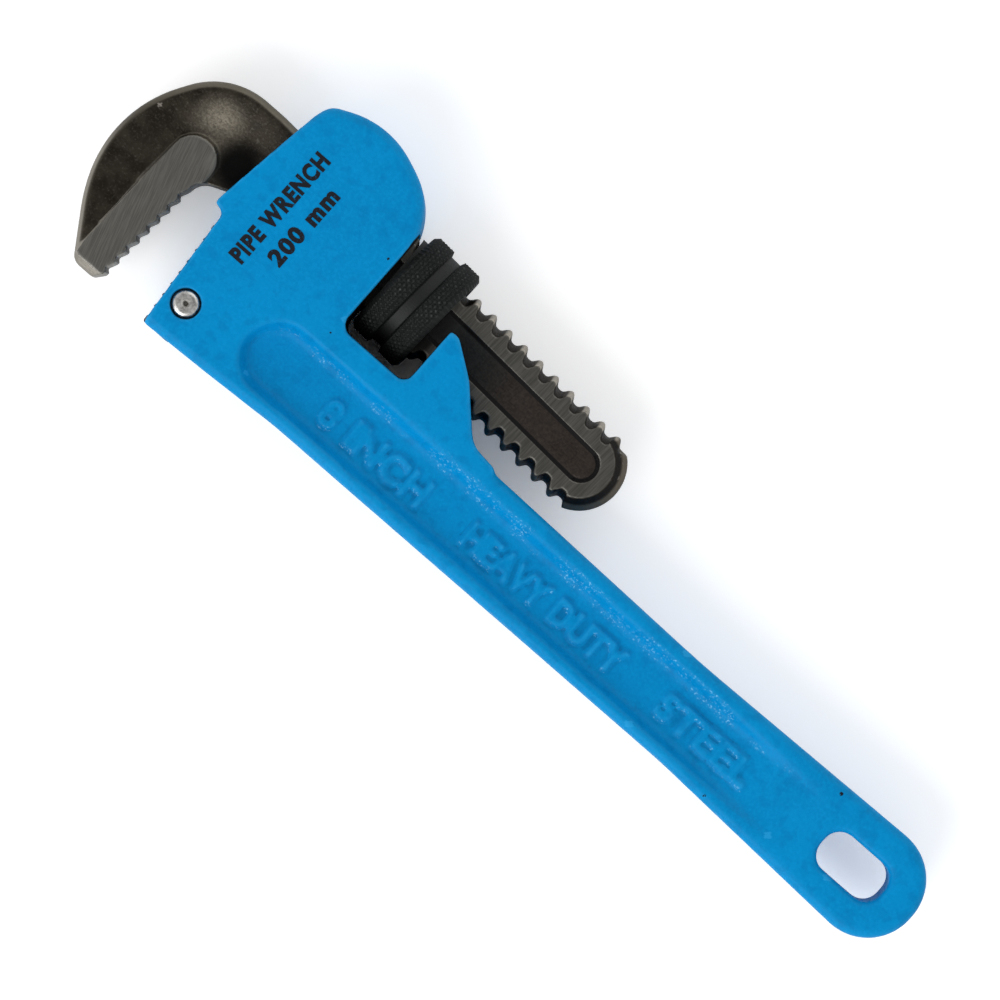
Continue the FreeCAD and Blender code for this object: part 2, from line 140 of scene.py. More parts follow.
class Finish:
    """A material whose patterns are measured in the drawing's millimetres."""

    def __init__(self, name):
        self.material = bpy.data.materials.new(name)
        self.material.use_nodes = True
        self.tree = self.material.node_tree
        self.shader = self.tree.nodes["Principled BSDF"]
        self.source = self.node("ShaderNodeTexCoord").outputs["Object"]
        self.drawing = self.mapped(DRAWING)
        self.shank = self.mapped(SHANK)

    def node(self, kind, **settings):
        made = self.tree.nodes.new(kind)
        for name, value in settings.items():
            setattr(made, name, value)
        return made

    def feed(self, socket, value):
        """Link a socket, or set its value."""
        if isinstance(value, bpy.types.NodeSocket):
            self.tree.links.new(value, socket)
        else:
            socket.default_value = value

    def mapped(self, place):
        """Coordinates in millimetres of a layout whose place in the row frame is given."""
        into = place.inverted()
        mapping = self.node("ShaderNodeMapping")
        self.feed(mapping.inputs["Vector"], self.source)
        mapping.inputs["Location"].default_value = into.translation
        mapping.inputs["Rotation"].default_value = into.to_euler()
        mapping.inputs["Scale"].default_value = into.to_scale()
        return mapping.outputs["Vector"]

    def parts(self, vector):
        split = self.node("ShaderNodeSeparateXYZ")
        self.feed(split.inputs[0], vector)
        return split.outputs

    def math(self, operation, first, second=0.0):
        made = self.node("ShaderNodeMath", operation=operation)
        self.feed(made.inputs[0], first)
        self.feed(made.inputs[1], second)
        return made.outputs[0]

    def between(self, value, low, high, to_low=0.0, to_high=1.0):
        """Smooth change as a value goes from low to high."""
        made = self.node("ShaderNodeMapRange", interpolation_type="SMOOTHSTEP")
        self.feed(made.inputs["Value"], value)
        made.inputs["From Min"].default_value = low
        made.inputs["From Max"].default_value = high
        made.inputs["To Min"].default_value = to_low
        made.inputs["To Max"].default_value = to_high
        return made.outputs["Result"]

    def all_of(self, *masks):
        result = masks[0]
        for mask in masks[1:]:
            result = self.math("MULTIPLY", result, mask)
        return result

    def stretched(self, vector, factors):
        made = self.node("ShaderNodeVectorMath", operation="MULTIPLY")
        self.feed(made.inputs[0], vector)
        made.inputs[1].default_value = factors
        return made.outputs[0]

    def noise(self, size, detail=3.0, roughness=0.55, vector=None):
        made = self.node("ShaderNodeTexNoise")
        self.feed(made.inputs["Vector"], vector or self.drawing)
        made.inputs["Scale"].default_value = 1 / size
        made.inputs["Detail"].default_value = detail
        made.inputs["Roughness"].default_value = roughness
        return made.outputs["Fac"]

    def mix(self, factor, first, second):
        made = self.node("ShaderNodeMix", data_type="RGBA")
        self.feed(made.inputs[0], factor)
        self.feed(made.inputs[6], first)
        self.feed(made.inputs[7], second)
        return made.outputs[2]

    def blend(self, factor, first, second):
        made = self.node("ShaderNodeMix", data_type="FLOAT")
        self.feed(made.inputs[0], factor)
        self.feed(made.inputs[2], first)
        self.feed(made.inputs[3], second)
        return made.outputs[0]

    def bump(self, height, depth, under=None):
        """Relief this many millimetres deep."""
        made = self.node("ShaderNodeBump")
        made.inputs["Distance"].default_value = depth * MM
        self.feed(made.inputs["Height"], height)
        if under:
            self.feed(made.inputs["Normal"], under)
        return made.outputs["Normal"]

    def edges(self, low, high):
        """Where the surface is a convex edge, or a hollow one when high is less than low."""
        return self.between(self.node("ShaderNodeNewGeometry").outputs["Pointiness"], low, high)

    def length(self, *sides):
        """Square root of the sum of squares."""
        total = self.math("MULTIPLY", sides[0], sides[0])
        for side in sides[1:]:
            total = self.math("ADD", total, self.math("MULTIPLY", side, side))
        return self.math("SQRT", total)

    def near(self, x, y, radius, softness):
        """Inside a spot about a place on the drawing."""
        away = self.node("ShaderNodeVectorMath", operation="DISTANCE")
        self.feed(away.inputs[0], self.stretched(self.drawing, (1, 1, 0)))
        away.inputs[1].default_value = (x, y, 0)
        return self.between(away.outputs["Value"], radius, radius + softness, 1.0, 0.0)

    def surface(self, color, roughness, normal, metallic):
        self.feed(self.shader.inputs["Base Color"], color)
        self.feed(self.shader.inputs["Roughness"], roughness)
        self.feed(self.shader.inputs["Normal"], normal)
        self.feed(self.shader.inputs["Metallic"], metallic)
        return self.material


def rgb(red, green, blue):
    return (red, green, blue, 1.0)


def blue_paint():
    """Semi-gloss blue over a sand-cast skin, chipped in places, bare and painted near black as shade inside the
    window, with painted highlights on its edges, painted glints on the web, and painted shade in its creases and
    around the pin's head.
    """
    f = Finish("blue_paint_over_casting")
    x, y, z = f.parts(f.drawing)
    lumps = f.noise(2.4, 2)
    grain = f.noise(0.55, 3)
    cloud = f.noise(14.0, 2)
    color = f.mix(f.between(cloud, 0.3, 0.7), rgb(0.0, 0.226, 0.530), rgb(0.0, 0.252, 0.585))
    color = f.mix(f.between(grain, 0.35, 0.75, 0.0, 0.6), color, rgb(0.0, 0.290, 0.640))
    color = f.mix(f.between(lumps, 0.30, 0.50, 0.5, 0.0), color, rgb(0.0, 0.190, 0.460))
    # painted highlight: convex edges lighter, standing for light caught by the rounded edges
    color = f.mix(f.math("MULTIPLY", f.edges(0.511, 0.56), 0.45), color, rgb(0.03, 0.40, 0.80))
    specks = f.between(f.noise(0.5, 4, 0.7), 0.54, 0.66)
    normal = f.parts(f.node("ShaderNodeNewGeometry").outputs["Normal"])
    faces_down = f.between(normal[1], -0.12, -0.34)         # towards the handle's -Y edge
    in_web = f.all_of(
        f.between(x, WEB_LOW[0] + 4, WEB_LOW[0] + 12),
        f.between(x, WEB_FADE[1], WEB_FADE[0] + 14),
        f.between(y, WEB_LOW[1] + 4, WEB_LOW[1] + 5),
        f.between(y, WEB_HIGH[1], WEB_HIGH[1] - 2),
        f.between(f.math("ABSOLUTE", z), HEAD_HALF - 1.2, HEAD_HALF - 2.2),
    )
    # painted glints: whitish specks on the web's slopes and letter sides that face the key light, mixed in two
    # lines down
    scuffs_and_glints = f.all_of(faces_down, in_web, specks, f.between(f.noise(5.0, 2), 0.40, 0.58))
    # painted shade: hollow edges and creases darker
    color = f.mix(f.math("MULTIPLY", f.edges(0.488, 0.465), 0.55), color, rgb(0.0, 0.130, 0.330))
    color = f.mix(f.math("MULTIPLY", scuffs_and_glints, 0.8), color, rgb(0.20, 0.58, 0.88))
    ragged = f.math("MULTIPLY", f.math("SUBTRACT", f.noise(0.5, 3), 0.5), 1.8)
    chips = f.near(*PAINT_CHIPS[0], CHIP_FADE)
    for spot in PAINT_CHIPS[1:]:
        chips = f.math("MAXIMUM", chips, f.near(*spot, CHIP_FADE))
    chips = f.between(f.all_of(chips, f.math("ADD", ragged, 1.0)), 0.72, 0.85)
    # painted shade: the window's bare casting inside is coloured near black for the deep shade there
    inside_window = f.all_of(
        f.between(x, WINDOW[0] - 0.5, WINDOW[0] - 0.3),
        f.between(x, WINDOW[1] + 0.3, WINDOW[1] + 0.5, 1.0, 0.0),
        f.between(y, WINDOW_FLOOR - 0.5, WINDOW_FLOOR - 0.3),
        f.between(f.math("ABSOLUTE", z), HEAD_HALF - 0.75, HEAD_HALF - 0.45, 1.0, 0.0),
    )
    # painted shade in the gap around the pin's head
    pin_rim = f.near(*PIN_PLACE, PIN_R + 0.05, 0.25)
    color = f.mix(chips, color, rgb(0.010, 0.014, 0.020))
    color = f.mix(inside_window, color, rgb(0.004, 0.0045, 0.005))
    color = f.mix(pin_rim, color, rgb(0.006, 0.030, 0.060))
    roughness = f.blend(f.between(grain, 0.3, 0.7), 0.36, 0.50)
    roughness = f.blend(f.math("MAXIMUM", chips, inside_window), roughness, 0.75)
    f.shader.inputs["Specular IOR Level"].default_value = 0.07
    relief = f.bump(lumps, 0.10, f.bump(grain, 0.035))
    return f.surface(color, roughness, relief, 0.0)


def forged_steel():
    """Black forging scale, ground flats with cross lines, worn crests and a dark stamped panel; painted highlights
    on the hook's dish, rim and nose, and painted shade in the thread's roots, on its lower crests, in the panel's
    border, in the hollow by the housing and on the shank beside the nut.
    """
    f = Finish("forged_and_ground_steel")
    x, y, z = f.parts(f.drawing)
    u, v, w = f.parts(f.shank)
    height = f.math("ABSOLUTE", z)
    facing = f.parts(f.node("ShaderNodeNewGeometry").outputs["Normal"])
    tilt = f.math("ABSOLUTE", facing[2])
    scale = f.noise(3.0, 4, 0.6)
    pores = f.noise(0.45, 3)
    rub = f.noise(7.0, 2)
    on_hook = f.between(x, HOOK_START, HOOK_START - 1)
    on_shank = f.between(u, SHANK_START - 0.5, SHANK_START + 0.5)

    color = f.mix(f.between(scale, 0.3, 0.7), rgb(0.021, 0.0175, 0.013), rgb(0.042, 0.035, 0.026))
    color = f.mix(f.between(pores, 0.5, 0.8, 0.0, 0.5), color, rgb(0.11, 0.10, 0.085))
    color = f.mix(f.between(rub, 0.42, 0.30, 0.0, 0.5), color, rgb(0.018, 0.016, 0.014))
    # painted highlight: the hook's dish lighter about this spot, standing for the light on its curve
    painted_highlight = f.all_of(on_hook, f.near(*HIGHLIGHT_SPOT, 0.3, 6.0), f.between(pores, 0.15, 0.75, 0.3, 1.0))
    color = f.mix(f.math("MULTIPLY", painted_highlight, 0.85), color, rgb(0.27, 0.24, 0.19))
    outward_x = f.math("MULTIPLY", facing[0], f.math("SUBTRACT", x, HOOK_MIDDLE[0]))
    outward_y = f.math("MULTIPLY", facing[1], f.math("SUBTRACT", y, HOOK_MIDDLE[1]))
    outer = f.all_of(on_hook, f.between(f.math("ADD", outward_x, outward_y), 0.0, 1.5))
    # painted highlight: the flat of the outer rim lighter, most towards the top
    rim = f.all_of(outer, f.between(tilt, 0.99, 0.90), f.between(height, 2.0, 3.0))
    color = f.mix(f.all_of(rim, f.between(y, -12.0, 4.0, 0.25, 0.85)), color, rgb(0.16, 0.145, 0.115))
    worn = f.math("MULTIPLY", f.edges(0.515, 0.60), f.between(pores, 0.2, 0.6))
    color = f.mix(f.math("MULTIPLY", worn, 0.7), color, rgb(0.42, 0.39, 0.34))
    # the outer fillets towards the nose lighter: partly wear, partly painted highlight where they face the key
    # light
    nose = f.all_of(outer, f.between(tilt, 0.93, 0.70), f.between(y, -4.0, -20.0))
    color = f.mix(f.math("MULTIPLY", nose, 0.75), color, rgb(0.36, 0.34, 0.30))
    # painted shade: near black in the hollow beside the housing
    painted_hollow_shade = f.all_of(on_hook, f.near(*HOLLOW_SHADE_SPOT, 2.2, 4.0))
    color = f.mix(f.math("MULTIPLY", painted_hollow_shade, 0.92), color, rgb(0.003, 0.003, 0.003))

    from_tail = f.length(f.math("SUBTRACT", u, TAIL_CENTRE), v)
    bevel = f.all_of(f.between(u, 36.0, 38.0), f.between(height, 4.0, 3.9))
    color = f.mix(f.all_of(bevel, f.between(from_tail, 7.5, 7.2)), color, rgb(0.010, 0.009, 0.008))
    color = f.mix(f.all_of(bevel, f.between(from_tail, 7.3, 7.8)), color, rgb(0.115, 0.100, 0.078))

    cross_lines = f.noise(0.32, 3, 0.65, f.stretched(f.shank, (1.0, 0.045, 1.0)))
    grind = f.mapped(DRAWING @ Matrix.Rotation(math.radians(BLOCK_GRIND), 4, "Z"))
    block_lines = f.noise(0.26, 3, 0.65, f.stretched(grind, (1.0, 0.05, 1.0)))
    shank_flat = f.all_of(on_shank, f.between(height, 4.02, 4.14))
    block_flat = f.all_of(on_hook, f.between(height, 5.28, 5.44))
    cut = f.between(cross_lines, 0.30, 0.72)
    shank_ground = f.mix(cut, rgb(0.084, 0.082, 0.073), rgb(0.146, 0.140, 0.125))
    cut = f.between(block_lines, 0.30, 0.72)
    block_ground = f.mix(cut, rgb(0.132, 0.127, 0.115), rgb(0.200, 0.194, 0.174))

    radius = f.length(v, w)
    thread = f.all_of(on_shank, f.between(height, 4.12, 4.02), f.between(u, 43.0, 42.0))
    # worn crests, brighter; towards the lower side (-V) they are dimmed as painted shade from the housing
    crest = f.all_of(thread, f.between(radius, 7.55, 7.95), f.between(u, 5.5, 6.5))
    crest = f.all_of(crest, f.between(v, -3.0, 3.0, 0.2, 1.0), f.between(pores, 0.2, 0.55, 0.5, 1.0))
    # painted shade: the thread's roots darker
    root = f.all_of(thread, f.between(radius, 7.5, 6.9), f.between(radius, 5.0, 5.5))
    beyond = f.math("MAXIMUM", f.math("SUBTRACT", u, PANEL_END), 0.0)
    from_middle = f.length(beyond, v)
    panel = f.all_of(on_shank, f.between(from_middle, 3.32, 3.22))
    # painted shade: the panel's border groove near black
    border = f.all_of(panel, f.between(from_middle, 2.46, 2.56))
    black_scale = f.mix(f.between(pores, 0.3, 0.7), rgb(0.007, 0.008, 0.008), rgb(0.018, 0.018, 0.017))
    brown_scale = f.mix(f.between(pores, 0.3, 0.7), rgb(0.018, 0.0125, 0.009), rgb(0.036, 0.026, 0.020))
    # painted shade: the shank near black just beside the nut, where the housing shades it
    painted_shade_by_nut = f.all_of(on_shank, f.between(u, 9.0, 7.0), f.between(v, 3.0, 2.0))
    color = f.mix(root, color, rgb(0.016, 0.014, 0.012))
    color = f.mix(crest, color, rgb(0.40, 0.37, 0.32))
    color = f.mix(shank_flat, color, shank_ground)
    color = f.mix(panel, color, f.mix(f.between(u, 14.0, 27.0), black_scale, brown_scale))
    color = f.mix(border, color, rgb(0.004, 0.0035, 0.0035))
    color = f.mix(f.math("MULTIPLY", painted_shade_by_nut, 0.9), color, rgb(0.004, 0.004, 0.004))
    color = f.mix(block_flat, color, block_ground)

    ground = f.math("MAXIMUM", shank_flat, block_flat)
    roughness = f.blend(f.between(scale, 0.3, 0.7), 0.40, 0.56)
    roughness = f.blend(ground, roughness, 0.40)
    roughness = f.blend(f.math("MAXIMUM", painted_hollow_shade, border), roughness, 0.8)
    lines = f.blend(block_flat, cross_lines, block_lines)
    scaly = f.math("ADD", f.math("MULTIPLY", scale, 2.0), pores)
    relief = f.bump(f.blend(ground, scaly, f.math("MULTIPLY", lines, 0.35)), 0.06)
    return f.surface(color, roughness, relief, f.blend(panel, 0.9, 0.55))


def nut_black():
    """Black oxide with faint rubbing on the knurl's points."""
    f = Finish("black_oxide")
    u, v, w = f.parts(f.shank)
    specks = f.noise(0.9, 3)
    points = f.all_of(f.between(f.length(v, w), NUT_R - 0.22, NUT_R - 0.02), f.between(specks, 0.50, 0.70))
    groove = f.between(f.math("ABSOLUTE", f.math("SUBTRACT", u, NUT_PLACE)), GROOVE_HALF + 0.2, GROOVE_HALF)
    color = f.mix(f.noise(2.0, 3), rgb(0.0035, 0.005, 0.005), rgb(0.010, 0.012, 0.0115))
    color = f.mix(f.math("MULTIPLY", groove, 0.7), color, rgb(0.014, 0.015, 0.0145))
    color = f.mix(points, color, rgb(0.055, 0.058, 0.055))
    roughness = f.blend(points, 0.56, 0.40)
    return f.surface(color, roughness, f.bump(f.noise(0.35, 3), 0.05), f.blend(points, 0.5, 0.8))


def jaw_steel():
    """Hardened steel with grinding marks, browned in patches."""
    f = Finish("hardened_steel")
    lines = f.noise(0.35, 3, 0.6, f.stretched(f.drawing, (1.0, 0.06, 1.0)))
    color = f.mix(f.between(lines, 0.3, 0.7), rgb(0.07, 0.065, 0.058), rgb(0.22, 0.21, 0.19))
    color = f.mix(f.between(f.noise(4.0, 3), 0.45, 0.7, 0.0, 0.6), color, rgb(0.05, 0.042, 0.034))
    return f.surface(color, f.between(lines, 0.2, 0.8, 0.36, 0.52), f.bump(lines, 0.02), 0.9)


def bright_pin():
    """Bright riveted steel, a little scuffed, with painted shade in the dimple at the pin's middle."""
    f = Finish("bright_riveted_steel")
    scuffs_and_glints = f.noise(0.6, 4, 0.6)
    color = f.mix(f.between(scuffs_and_glints, 0.35, 0.7), rgb(0.50, 0.49, 0.47), rgb(0.72, 0.71, 0.69))
    # painted shade in the dimple at the pin's middle
    color = f.mix(f.near(*PIN_PLACE, 0.25, 0.35), color, rgb(0.16, 0.15, 0.14))
    return f.surface(color, f.between(scuffs_and_glints, 0.3, 0.7, 0.24, 0.40), f.bump(scuffs_and_glints, 0.03), 1.0)


def spring_steel():
    """Oiled spring steel, with rolling lines."""
    f = Finish("oiled_spring_steel")
    lines = f.noise(0.4, 3, 0.6, f.stretched(f.drawing, (0.08, 1.0, 1.0)))
    color = f.mix(f.between(lines, 0.3, 0.7), rgb(0.12, 0.12, 0.13), rgb(0.28, 0.28, 0.29))
    return f.surface(color, f.between(lines, 0.2, 0.8, 0.28, 0.42), f.bump(lines, 0.015), 1.0)


def print_ink():
    """Black pad-printed ink, thin over the lumps of the casting."""
    f = Finish("pad_printed_ink")
    thin = f.between(f.noise(0.5, 3), 0.28, 0.40)
    color = f.mix(thin, rgb(0.0, 0.05, 0.12), rgb(0.006, 0.007, 0.012))
    f.shader.inputs["Specular IOR Level"].default_value = 0.2
    return f.surface(color, 0.55, f.bump(f.noise(2.4, 2), 0.08), 0.0)


# ---------------------------------------------------------------- mesh tools

def placed(name, mesh, material):
    """New piece from a mesh in the row frame."""
    mesh.materials.clear()
    mesh.materials.append(material)
    piece = bpy.data.objects.new(name, mesh)
    bpy.context.scene.collection.objects.link(piece)
    return piece


def drawn_mesh(name, vertices, faces, place):
    """Mesh from drawing millimetres, with its faces turned outwards."""
    mesh = bpy.data.meshes.new(name)
    mesh.from_pydata([place @ Vector(v) for v in vertices], [], faces)
    shape = bmesh.new()
    shape.from_mesh(mesh)
    bmesh.ops.remove_doubles(shape, verts=shape.verts, dist=0.001 * MM)
    bmesh.ops.recalc_face_normals(shape, faces=shape.faces)
    shape.to_mesh(mesh)
    shape.free()
    return mesh


def merged_copy(node):
    """A node's mesh with its loose triangles joined."""
    mesh = frame["nodes"][node].data.copy()
    mesh.name = node + "_surface"
    shape = bmesh.new()
    shape.from_mesh(mesh)
    bmesh.ops.remove_doubles(shape, verts=shape.verts, dist=0.002 * MM)
    shape.to_mesh(mesh)
    shape.free()
    custom = mesh.attributes.get("custom_normal")
    if custom:
        mesh.attributes.remove(custom)
    return mesh


def make_plain(piece):
    """Turn a piece's modifiers into plain mesh."""
    evaluated = piece.evaluated_get(bpy.context.evaluated_depsgraph_get())
    mesh = bpy.data.meshes.new_from_object(evaluated)
    piece.modifiers.clear()
    piece.data = mesh
    return piece


def reskin(piece, voxel, softening):
    """Give a piece one even skin, with its edges softened; the voxel is in the mesh's own units."""
    skin = piece.modifiers.new("skin", "REMESH")
    skin.mode = "VOXEL"
    skin.voxel_size = voxel
    skin.use_smooth_shade = True
    soften = piece.modifiers.new("soften", "SMOOTH")
    soften.factor = 0.5
    soften.iterations = softening
    return make_plain(piece)


def add_meshes(piece, meshes):
    """Add closed shells to a piece."""
    shape = bmesh.new()
    shape.from_mesh(piece.data)
    for mesh in meshes:
        shape.from_mesh(mesh)
    shape.to_mesh(piece.data)
    shape.free()


def word_mesh(text, middle, size, heights, place, turn=0.0, weight=0.0):
    """Solid word of a given width and height, standing between two heights of a layout."""
    curve = bpy.data.curves.new(text, "FONT")
    curve.body = text
    curve.extrude = 0.5
    curve.offset = weight
    curve.space_character = 1.0 + 3.5 * weight
    curve.resolution_u = 4
    source = bpy.data.objects.new(text, curve)
    bpy.context.scene.collection.objects.link(source)
    mesh = bpy.data.meshes.new_from_object(source.evaluated_get(bpy.context.evaluated_depsgraph_get()))
    bpy.data.objects.remove(source)
    low = Vector(tuple(min(v.co[i] for v in mesh.vertices) for i in range(3)))
    high = Vector(tuple(max(v.co[i] for v in mesh.vertices) for i in range(3)))
    span = high - low
    fit = Matrix.Diagonal((size[0] / span.x, size[1] / span.y, (heights[1] - heights[0]) / span.z, 1))
    stand = place @ Matrix.Translation(Vector((*middle, (heights[0] + heights[1]) / 2)))
    stand = stand @ Matrix.Rotation(turn, 4, "Z")
    mesh.transform(stand @ fit @ Matrix.Translation(-(low + high) / 2))
    shape = bmesh.new()
    shape.from_mesh(mesh)
    bmesh.ops.remove_doubles(shape, verts=shape.verts, dist=0.001 * MM)
    bmesh.ops.recalc_face_normals(shape, faces=shape.faces)
    shape.to_mesh(mesh)
    shape.free()
    return mesh


def lay_on(mesh, skin):
    """Raise a word by the height of the surface under each of its points, on whichever side it stands."""
    for vertex in mesh.vertices:
        side = math.copysign(1.0, (DRAWING.inverted() @ vertex.co).z)
        start = Vector((vertex.co.x, vertex.co.y, ORIGIN.z + side * 0.05))
        hit = skin.ray_cast(start, Vector((0, 0, -side)))[0]
        vertex.co.z += hit.z - ORIGIN.z


# ---------------------------------------------------------------- node trees

class ShapeTree:
    """Geometry Nodes tree with named sizes, ended by Realize Instances and Set Material."""

    def __init__(self, name, sizes):
        self.tree = bpy.data.node_groups.new(name, "GeometryNodeTree")
        face = self.tree.interface
        face.new_socket("Geometry", in_out="INPUT", socket_type="NodeSocketGeometry")
        for size in sizes:
            face.new_socket(size, in_out="INPUT", socket_type="NodeSocketFloat")
        face.new_socket("Finish", in_out="INPUT", socket_type="NodeSocketMaterial")
        face.new_socket("Geometry", in_out="OUTPUT", socket_type="NodeSocketGeometry")
        self.inputs = self.tree.nodes.new("NodeGroupInput").outputs
        self.output = self.tree.nodes.new("NodeGroupOutput")

    def node(self, kind, *values, **settings):
        made = self.tree.nodes.new(kind)
        for name, value in settings.items():
            setattr(made, name, value)
        for socket, value in zip([s for s in made.inputs if s.enabled], values):
            self.feed(socket, value)
        return made.outputs

    def feed(self, socket, value):
        if isinstance(value, bpy.types.NodeSocket):
            self.tree.links.new(value, socket)
        elif value is not None:
            socket.default_value = value

    def math(self, operation, first, second=0.0):
        return self.node("ShaderNodeMath", first, second, operation=operation)[0]

    def end(self, geometry):
        whole = self.node("GeometryNodeRealizeInstances", geometry)[0]
        finished = self.node("GeometryNodeSetMaterial", whole, None, self.inputs["Finish"])[0]
        self.feed(self.output.inputs["Geometry"], finished)

    def run(self, piece, material, **sizes):
        """Apply the tree to a piece; sizes are given by name, with _ for each space."""
        modifier = piece.modifiers.new(self.tree.name, "NODES")
        modifier.node_group = self.tree
        values = {name.replace("_", " "): value for name, value in sizes.items()}
        values["Finish"] = material
        for socket in self.tree.interface.items_tree:
            if socket.in_out == "INPUT" and socket.name in values:
                modifier[socket.identifier] = values[socket.name]
        make_plain(piece)
        piece.data.materials.clear()
        piece.data.materials.append(material)
        return piece


def cast_skin_tree():
    """Sinks a surface by an even amount and a little more where the sand left it low."""
    t = ShapeTree("cast skin", ["Sink", "Lump depth", "Lump size"])
    position = t.node("GeometryNodeInputPosition")[0]
    normal = t.node("GeometryNodeInputNormal")[0]
    scale = t.math("DIVIDE", 1.0, t.inputs["Lump size"])
    noise = t.tree.nodes.new("ShaderNodeTexNoise")
    t.feed(noise.inputs["Vector"], position)
    t.feed(noise.inputs["Scale"], scale)
    noise.inputs["Detail"].default_value = 2.0
    depth = t.math("MULTIPLY", noise.outputs["Fac"], t.inputs["Lump depth"])
    inward = t.math("MULTIPLY", t.math("ADD", depth, t.inputs["Sink"]), -1.0)
    offset = t.tree.nodes.new("ShaderNodeVectorMath")
    offset.operation = "SCALE"
    t.feed(offset.inputs[0], normal)
    t.feed(offset.inputs["Scale"], inward)
    t.end(t.node("GeometryNodeSetPosition", t.inputs["Geometry"], None, None, offset.outputs[0])[0])
    return t


def knurl_tree():
    """Presses two crossing sets of V grooves into the outside of a turned blank that lies about X."""
    t = ShapeTree("diamond knurl", ["Radius", "Depth", "Knurls", "Row length"])
    x, y, z = t.node("ShaderNodeSeparateXYZ", t.node("GeometryNodeInputPosition")[0])[:3]
    radius = t.math("SQRT", t.math("ADD", t.math("MULTIPLY", y, y), t.math("MULTIPLY", z, z)))
    around = t.math("MULTIPLY", t.math("DIVIDE", t.math("ARCTAN2", z, y), math.tau), t.inputs["Knurls"])
    along = t.math("DIVIDE", x, t.inputs["Row length"])

    def groove(count):
        """1 in the middle of a groove and 0 midway to the next one."""
        return t.math("MULTIPLY", t.math("ABSOLUTE", t.math("SUBTRACT", t.math("FRACT", count), 0.5)), 2.0)

    leaning_left = groove(t.math("ADD", around, along))
    leaning_right = groove(t.math("SUBTRACT", around, along))
    deepest = t.math("MAXIMUM", leaning_left, leaning_right)
    cut = t.math("MULTIPLY", t.math("SUBTRACT", deepest, 0.25), 1 / 0.75)
    cut = t.math("MULTIPLY", t.math("MAXIMUM", cut, 0.0), t.inputs["Depth"])
    on_band = t.math("GREATER_THAN", radius, t.math("SUBTRACT", t.inputs["Radius"], 0.02))
    shrink = t.math("SUBTRACT", 1.0, t.math("MULTIPLY", on_band, t.math("DIVIDE", cut, radius)))
    y, z = t.math("MULTIPLY", y, shrink), t.math("MULTIPLY", z, shrink)
    pressed = t.node("ShaderNodeCombineXYZ", x, y, z)[0]
    t.end(t.node("GeometryNodeSetPosition", t.inputs["Geometry"], None, pressed)[0])
    return t


def coil_tree():
    """Round wire wound up Z."""
    t = ShapeTree("wound wire", ["Coil radius", "Wire radius", "Turns", "Height"])
    spiral = t.tree.nodes.new("GeometryNodeCurveSpiral")
    spiral.inputs["Resolution"].default_value = 32
    t.feed(spiral.inputs["Rotations"], t.inputs["Turns"])
    t.feed(spiral.inputs["Start Radius"], t.inputs["Coil radius"])
    t.feed(spiral.inputs["End Radius"], t.inputs["Coil radius"])
    t.feed(spiral.inputs["Height"], t.inputs["Height"])
    wire = t.tree.nodes.new("GeometryNodeCurvePrimitiveCircle")
    wire.inputs["Resolution"].default_value = 14
    t.feed(wire.inputs["Radius"], t.inputs["Wire radius"])
    swept = t.tree.nodes.new("GeometryNodeCurveToMesh")
    t.feed(swept.inputs["Curve"], spiral.outputs[0])
    t.feed(swept.inputs["Profile Curve"], wire.outputs[0])
    swept.inputs["Fill Caps"].default_value = True
    t.end(swept.outputs[0])
    return t


# ---------------------------------------------------------------- pieces

def soften_web(piece):
    """Run the sides of the web's recess down into its floor in a soft slope."""
    into = DRAWING.inverted()
    group = piece.vertex_groups.new(name="web")
    for vertex in piece.data.vertices:
        x, y, z = into @ vertex.co
        inside = WEB_LOW[0] < x < WEB_HIGH[0] and WEB_LOW[1] < y < WEB_HIGH[1]
        if inside and abs(z) < HEAD_HALF - 0.4:
            group.add([vertex.index], 1.0, "REPLACE")
            run_out = min(max((x - WEB_FADE[0]) / (WEB_FADE[1] - WEB_FADE[0]), 0.0), 1.0)
            run_out *= RUN_OUT * run_out * (3 - 2 * run_out)
            if abs(z) < RIM_HALF:
                vertex.co.z += math.copysign(run_out * (RIM_HALF - 0.1 - abs(z)) * MM, z)
    slope = piece.modifiers.new("slope", "SMOOTH")
    slope.factor = 0.5
    slope.iterations = WEB_SMOOTHING
    slope.vertex_group = group.name
    make_plain(piece)
    piece.vertex_groups.clear()


def web_words(piece):
    """Raised cast words in the web, the same on both sides."""
    skin = BVHTree.FromObject(piece, bpy.context.evaluated_depsgraph_get())
    words = []
    for text, middle, size in CAST_WORDS:
        for side in (1, -1):
            flip = Matrix.Rotation(0.0 if side == 1 else math.pi, 4, "X")
            spot = (middle[0], side * middle[1])
            heights = (0.01, WORD_RELIEF + WORD_ROOT)
            word = word_mesh(text, spot, size, heights, DRAWING @ flip, weight=0.02)
            lay_on(word, skin)
            word.transform(Matrix.Translation((0, 0, -side * WORD_ROOT * MM)))
            words.append(word)
    return words


def painted_handle(paint):
    piece = placed("painted_handle", merged_copy("handle"), paint)
    reskin(piece, CAST_VOXEL * MM, 2)
    soften_web(piece)
    add_meshes(piece, web_words(piece))
    reskin(piece, CAST_VOXEL * MM, 1)
    cast_skin_tree().run(piece, paint, Sink=CAST_SINK * MM,
                         Lump_depth=LUMP_DEPTH * MM, Lump_size=LUMP_SIZE * MM)
    return piece


def pad_print(ink):
    """Two generic lines printed on the side of the housing."""
    upright = math.pi / 2
    name = word_mesh("PIPE WRENCH", (-28.0, -3.6), (23.6, 3.3), PRINT_DEPTH, DRAWING, upright, 0.05)
    size = word_mesh("200 mm", (-22.7, -3.4), (16.2, 3.3), PRINT_DEPTH, DRAWING, upright, 0.05)
    piece = placed("printed_lines", name, ink)
    add_meshes(piece, [size])
    return piece


